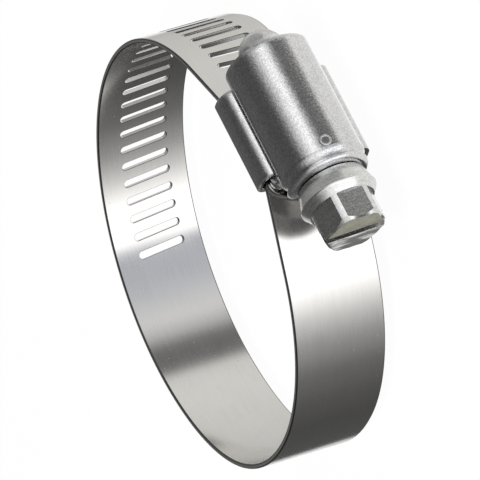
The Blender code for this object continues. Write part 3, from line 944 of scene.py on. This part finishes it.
def lathe(bm, angles, rings):
    """Extrudes a created circle from ring to ring. A ring gives (z, radius) for each angle."""
    first = bmesh.ops.create_circle(bm, segments=len(angles), radius=1)["verts"]
    loop = first
    edges = list({e for v in first for e in v.link_edges})
    for number, ring in enumerate(rings):
        if number:
            fresh = bmesh.ops.extrude_edge_only(bm, edges=edges)["geom"]
            edges = [item for item in fresh if isinstance(item, bmesh.types.BMEdge) and item.is_boundary]
            order = {edge.other_vert(vert): vert for vert in verts_of(fresh) for edge in vert.link_edges}
            loop = [order[vert] for vert in loop]
        for vert, angle, (z, radius) in zip(loop, angles, ring):
            vert.co = (radius * math.cos(angle), radius * math.sin(angle), z)
    return first, loop


def build_screw():
    """The turned screw with its hexagon head, a driver slot and the worm's thread."""
    levels = stack()
    screw = bpy.context.scene.clamp_screw
    corner = screw.across_flats / math.sqrt(3) - HEX_TRIM
    flat = screw.across_flats / 2
    face_share = 1 - HEX_FACE_INSET / flat
    rim = corner + COLLAR_STEP
    back = rim - COLLAR_TAPER
    front = COLLAR_BACK + COLLAR_HEIGHT
    head = front + COLLAR_BEVEL
    end = head + HEX_LENGTH
    angles = hex_angles(screw.across_flats, corner)
    turned = []
    for angle in steps(0, math.pi / 2, TIP_STEPS)[1:]:
        turned.append((-TIP_SHOULDER - levels["core"] * math.cos(angle), levels["core"] * math.sin(angle)))
    turned += [
        (THREAD_FRONT + NECK_STEP, levels["core"]),
        (THREAD_FRONT + NECK_STEP + EDGE, levels["neck"]),
        (COLLAR_BACK, levels["neck"]),
        (COLLAR_BACK, back - COLLAR_ROUND),
        (COLLAR_BACK + EDGE, back - EDGE),
        (COLLAR_BACK + COLLAR_ROUND, back),
        (front - RIM_ROUND, rim - RIM_DROP),
        (front, rim - EDGE),
        (head - FILLET_LENGTH, corner + FILLET_FOOT),
        (head, corner + FILLET_TOP),
    ]
    rings = [[(z, radius)] * len(angles) for z, radius in turned]
    hexagon = [hex_radius(screw.across_flats, corner, angle) for angle in angles]
    tangent = math.tan(HEX_CHAMFER)
    rings.append([(head, radius) for radius in hexagon])
    rings.append([(end - CHAMFER_END - (radius - flat) * tangent, radius) for radius in hexagon])
    rings.append([(end - EDGE, radius * face_share + FACE_ROUND) for radius in hexagon])
    rings.append([(end, radius * face_share - EDGE) for radius in hexagon])
    bm = bmesh.new()
    first, last = lathe(bm, angles, rings)
    bmesh.ops.contextual_create(bm, geom=last)
    tip = bmesh.ops.contextual_create(bm, geom=first)["faces"]
    centre = bmesh.ops.poke(bm, faces=tip)["verts"][0]
    centre.co.z = -TIP_SHOULDER - levels["core"]
    bmesh.ops.recalc_face_normals(bm, faces=bm.faces)
    cut_driver_slot(bm, end, screw)
    add_thread(bm, screw)
    place = Matrix.Translation((0, -levels["screw"], 0)) @ Matrix.Rotation(-math.pi / 2, 4, "Y")
    bmesh.ops.transform(bm, matrix=place, verts=bm.verts)
    material = turned_finish("screw_steel_turned", screw.colour, 0.2, end)
    add_piece("screw_turned", bm, material, "screw", "screw", sharp=20)


def cut_driver_slot(bm, end, screw):
    """Bisects the head at the slot's walls and floor, and sinks what lies between them."""
    across = Vector((-math.sin(DRIVER_SLOT_TURN), math.cos(DRIVER_SLOT_TURN), 0))
    half = screw.slot_width / 2
    depth = end - screw.slot_depth
    planes = [(across * half * sign, across) for sign in (1, -1)]
    planes.append(((0, 0, depth), (0, 0, 1)))
    for point, normal in planes:
        near = [f for f in bm.faces if f.calc_center_median().z > end - HEX_LENGTH]
        geom = list({item for f in near for item in (f, *f.edges, *f.verts)})
        bmesh.ops.bisect_plane(bm, geom=geom, plane_co=point, plane_no=normal)
    inside = []
    for face in bm.faces:
        middle = face.calc_center_median()
        if middle.z > depth and abs(middle.dot(across)) < half - CLOSE:
            inside.append(face)
    bmesh.ops.delete(bm, geom=inside, context="FACES")
    border = [e for e in bm.edges if e.is_boundary]
    floor = edges_where(border, lambda point: abs(point.z - depth) < CLOSE)
    for sign in (1, -1):
        wall = edges_where(border, lambda point: abs(point.dot(across) * sign - half) < CLOSE)
        ends = [v for v in {v for e in wall for v in e.verts} if abs(v.co.z - depth) < CLOSE]
        if len(ends) == 2:
            closing = bm.edges.new(ends)
            bmesh.ops.contextual_create(bm, geom=wall + [closing])
            floor.append(closing)
    bmesh.ops.contextual_create(bm, geom=floor)
    bmesh.ops.recalc_face_normals(bm, faces=bm.faces)

    def at_mouth(point):
        return abs(point.z - end) < CLOSE and abs(abs(point.dot(across)) - half) < CLOSE

    round_off(bm, edges_where(bm.edges, at_mouth), DRIVER_SLOT_EASE, 2)


# The thread: its flanks, its play in a slot, how deep its foot is sunk, and the run-out in pitches
FLANK_ANGLE = math.radians(12.5)
THREAD_PLAY = 0.08 * MM
THREAD_FOOT = 0.12 * MM
CREST_EASE = 0.07 * MM
STEPS_A_TURN = 60
RUN_OUT = 0.33


def add_thread(bm, screw):
    """Spins a ridge along the worm and sinks its ends into the core."""
    band = bpy.context.scene.clamp_band
    slot_x = slot_middles(band_path())[0] - TAIL_REACH
    flank = math.tan(FLANK_ANGLE)
    crest = band.slot_width / 2 - THREAD_PLAY - band.thickness * flank
    depth = band.thickness + CORE_GAP + THREAD_FOOT
    root = crest + depth * flank
    top = screw.worm_radius
    turns = (THREAD_REAR + THREAD_FRONT) / band.slot_pitch
    first = math.pi / 2 + 2 * math.pi * (slot_x - THREAD_REAR) / band.slot_pitch
    profile = [
        (top - depth, -root),
        (top - CREST_EASE, -crest - CREST_EASE * flank),
        (top, -crest + CREST_EASE),
        (top, crest - CREST_EASE),
        (top - CREST_EASE, crest + CREST_EASE * flank),
        (top - depth, root),
    ]
    start = [bm.verts.new((r, 0, z - THREAD_REAR)) for r, z in profile]
    section = bmesh.ops.contextual_create(bm, geom=start)["faces"][0]
    bmesh.ops.rotate(bm, verts=start, cent=(0, 0, 0), matrix=Matrix.Rotation(first, 3, "Z"))
    count = round(turns * STEPS_A_TURN)
    before = set(bm.verts)
    bmesh.ops.spin(
        bm,
        geom=[section, *section.edges, *start],
        cent=(0, 0, 0),
        axis=(0, 0, 1),
        dvec=(0, 0, band.slot_pitch * turns / count),
        angle=-2 * math.pi * turns,
        steps=count,
        use_merge=False,
    )
    ridge = [v for v in bm.verts if v not in before] + start
    run_out = band.slot_pitch * RUN_OUT
    for vert in ridge:
        angle = math.atan2(vert.co.y, vert.co.x)
        to_end = min(vert.co.z + THREAD_REAR, THREAD_FRONT - vert.co.z)
        share = max(0, 1 - to_end / run_out)
        sink = (depth + EDGE) * min(1, share)
        radius = math.hypot(vert.co.x, vert.co.y) - sink
        vert.co.x = radius * math.cos(angle)
        vert.co.y = radius * math.sin(angle)


# Studio


# Soft square lamps that face the middle of the hoop, as (name, place, size, power)
LAMPS = [
    ("key", (-0.25, -0.25, 0.5), 0.3, 3.0),
    ("fill", (0.4, -0.4, 0.3), 0.4, 1.5),
]


def add_lamp(name, place, size, power):
    lamp = bpy.data.lights.new(name, "AREA")
    lamp.shape = "SQUARE"
    lamp.size = size
    lamp.energy = power
    obj = link(name, lamp)
    obj.location = place
    obj.rotation_euler = (-Vector(place)).to_track_quat("-Z", "Y").to_euler()
    obj.visible_glossy = False


# What the steel mirrors at each compass angle in degrees, as a grey or a colour: low down, and higher up
LOW_WALLS = {
    -180: 0.40,
    -166: 0.80,
    -150: 1.60,
    -130: 1.70,
    -127: (0.52, 0.54, 0.60),
    -106: (0.58, 0.60, 0.65),
    -86: 0.84,
    -77: 0.55,
    -72: 0.17,
    -57: 0.15,
    -53: (0.84, 0.83, 0.81),
    -24: (0.82, 0.81, 0.79),
    16: (0.69, 0.68, 0.66),
    36: (0.60, 0.60, 0.59),
    50: (0.28, 0.28, 0.27),
    62: 0.10,
    120: 0.08,
    140: 0.11,
    160: 0.17,
    180: 0.40,
}
HIGH_WALLS = {
    -180: 0.30,
    -150: 1.30,
    -115: (0.95, 0.95, 0.96),
    -84: (1.45, 1.45, 1.47),
    -64: (1.70, 1.70, 1.72),
    -44: 1.50,
    -26: (0.80, 0.80, 0.78),
    0: (0.60, 0.60, 0.58),
    30: (0.40, 0.40, 0.39),
    56: 0.13,
    110: 0.12,
    150: 0.20,
    180: 0.30,
}


# The elevations in degrees between which the walls change: low to high, to the ceiling, and to the floor
UPPER_WALLS = (-5, 22)
CEILING = (19, 61)
FLOOR = (-45, -41)

# Round panels in the room, as (direction, where it begins, where it is full, brightness): a white one behind
# the clamp, which grazing faces mirror, and a grey one that the collar mirrors
ROUND_PANELS = [
    ((0.407, 0.765, -0.5), 0.94, 0.975, 1.15),
    ((0.891, -0.360, 0.276), 0.815, 0.85, 0.40),
]


def build_world():
    """White to the camera. The steel mirrors a room: dark ceiling, white floor and panels on its walls."""
    world = bpy.data.worlds.new("studio")
    bpy.context.scene.world = world
    finish = Finish(world)
    x, y, z = finish.axes(finish.node("ShaderNodeTexCoord").outputs["Generated"])
    azimuth = y.math("ARCTAN2", x) / (2 * math.pi) + 0.5
    elevation = z.math("ARCSINE") * math.degrees(1)
    walls = []
    for levels in (LOW_WALLS, HIGH_WALLS):
        stops = []
        for angle, colour in levels.items():
            stops.append(((angle + 180) / 360, colour if isinstance(colour, tuple) else grey(colour)))
        walls.append(finish.node("ShaderNodeValToRGB", {"stops": stops}, Fac=azimuth).outputs["Color"])
    room = finish.mix(finish.between(elevation, *UPPER_WALLS), *walls)
    room = finish.mix(finish.between(elevation, *CEILING), room, grey(0.09))
    room = finish.mix(finish.between(elevation, *FLOOR), (0.95, 0.945, 0.93), room)
    for middle, edge, full, brightness in ROUND_PANELS:
        facing = x * middle[0] + y * middle[1] + z * middle[2]
        room = finish.mix(finish.between(facing, edge, full), room, grey(brightness))
    ray = finish.node("ShaderNodeLightPath").outputs
    seen = finish.mix(finish.value(ray["Is Glossy Ray"]), grey(0.5), room)
    colour = finish.mix(finish.value(ray["Is Camera Ray"]), seen, grey(1))
    shader = finish.node("ShaderNodeBackground", Color=colour, Strength=1.0)
    finish.node("ShaderNodeOutputWorld", Surface=shader.outputs["Background"])


FLOOR_HALF = 2.0
FLOOR_DROP = 0.02 * MM


def build_floor():
    """A wide floor just under the band. The camera sees it white, apart from a share of its own shading."""
    bm = bmesh.new()
    bmesh.ops.create_grid(bm, x_segments=1, y_segments=1, size=FLOOR_HALF)
    mesh = bpy.data.meshes.new("floor")
    bm.to_mesh(mesh)
    bm.free()
    floor = link("floor", mesh)
    floor.location = (0, 0, -FLOOR_DROP)
    material = bpy.data.materials.new("floor_white")
    finish = Finish(material)
    camera = finish.value(finish.node("ShaderNodeLightPath").outputs["Is Camera Ray"])
    matt = finish.node("ShaderNodeBsdfDiffuse", Color=(*grey(0.85), 1))
    white = finish.node("ShaderNodeEmission", Color=(*grey(1), 1), Strength=1.0)
    blend = finish.node("ShaderNodeMixShader", Fac=camera * (1 - bpy.context.scene.clamp_studio.shadow))
    finish.connect(blend.inputs[1], matt.outputs["BSDF"])
    finish.connect(blend.inputs[2], white.outputs["Emission"])
    finish.node("ShaderNodeOutputMaterial", Surface=blend.outputs["Shader"])
    mesh.materials.append(material)
    floor.visible_glossy = False


def build_camera():
    camera = bpy.data.cameras.new("camera")
    camera.lens = 460.65
    camera.sensor_width = 36
    camera.clip_end = 10
    obj = link("camera", camera)
    obj.location = (-0.32561, -0.66298, 0.30123)
    obj.rotation_euler = (-0.6360, 1.0971, -2.7167)
    bpy.context.scene.camera = obj


def build_stage():
    scene = bpy.context.scene
    scene.view_settings.view_transform = "Standard"
    build_camera()
    build_world()
    build_floor()
    for name, place, size, power in LAMPS:
        add_lamp(name, place, size, power * scene.clamp_studio.lamp)


# Operators


class CLAMP_OT_band(bpy.types.Operator):
    """Add the slotted band, wrapped round its hoop"""

    bl_idname = "clamp.band"
    bl_label = "Band"

    def execute(self, context):
        build_band()
        return {"FINISHED"}


class CLAMP_OT_saddle(bpy.types.Operator):
    """Add the saddle, folded over the housing's flanges"""

    bl_idname = "clamp.saddle"
    bl_label = "Saddle"

    def execute(self, context):
        build_saddle()
        return {"FINISHED"}


class CLAMP_OT_housing(bpy.types.Operator):
    """Add the pressed housing with its neck"""

    bl_idname = "clamp.housing"
    bl_label = "Housing"

    def execute(self, context):
        build_housing()
        return {"FINISHED"}


class CLAMP_OT_screw(bpy.types.Operator):
    """Add the worm screw with its hexagon head"""

    bl_idname = "clamp.screw"
    bl_label = "Screw"

    def execute(self, context):
        build_screw()
        return {"FINISHED"}


class CLAMP_OT_stage(bpy.types.Operator):
    """Add the camera, the white room, its floor and its lamps"""

    bl_idname = "clamp.stage"
    bl_label = "Studio"

    def execute(self, context):
        build_stage()
        return {"FINISHED"}


class CLAMP_PT_panel(bpy.types.Panel):
    """Sizes, colours and pieces of the hose clamp"""

    bl_label = "Hose clamp"
    bl_idname = "CLAMP_PT_panel"
    bl_space_type = "VIEW_3D"
    bl_region_type = "UI"
    bl_category = "Hose clamp"

    def draw(self, context):
        layout = self.layout
        scene = context.scene
        for name, operators in PANEL_ROWS:
            box = layout.box()
            settings = getattr(scene, name)
            for key in settings.__annotations__:
                box.prop(settings, key)
            for operator in operators:
                box.operator(operator)


GROUPS = {
    "clamp_band": BandSettings,
    "clamp_housing": HousingSettings,
    "clamp_screw": ScrewSettings,
    "clamp_studio": StudioSettings,
}
PANEL_ROWS = [
    ("clamp_band", ["clamp.band"]),
    ("clamp_housing", ["clamp.saddle", "clamp.housing"]),
    ("clamp_screw", ["clamp.screw"]),
    ("clamp_studio", ["clamp.stage"]),
]
OPERATORS = [CLAMP_OT_stage, CLAMP_OT_band, CLAMP_OT_saddle, CLAMP_OT_housing, CLAMP_OT_screw]


def register():
    for item in [*GROUPS.values(), *OPERATORS, CLAMP_PT_panel]:
        bpy.utils.register_class(item)
    for name, group in GROUPS.items():
        setattr(bpy.types.Scene, name, bpy.props.PointerProperty(type=group))


def unregister():
    for name in GROUPS:
        delattr(bpy.types.Scene, name)
    for item in [CLAMP_PT_panel, *reversed(OPERATORS), *reversed(GROUPS.values())]:
        bpy.utils.unregister_class(item)


def main():
    register()
    bpy.ops.clamp.stage()
    bpy.ops.clamp.band()
    bpy.ops.clamp.saddle()
    bpy.ops.clamp.housing()
    bpy.ops.clamp.screw()


if __name__ == "__main__":
    main()
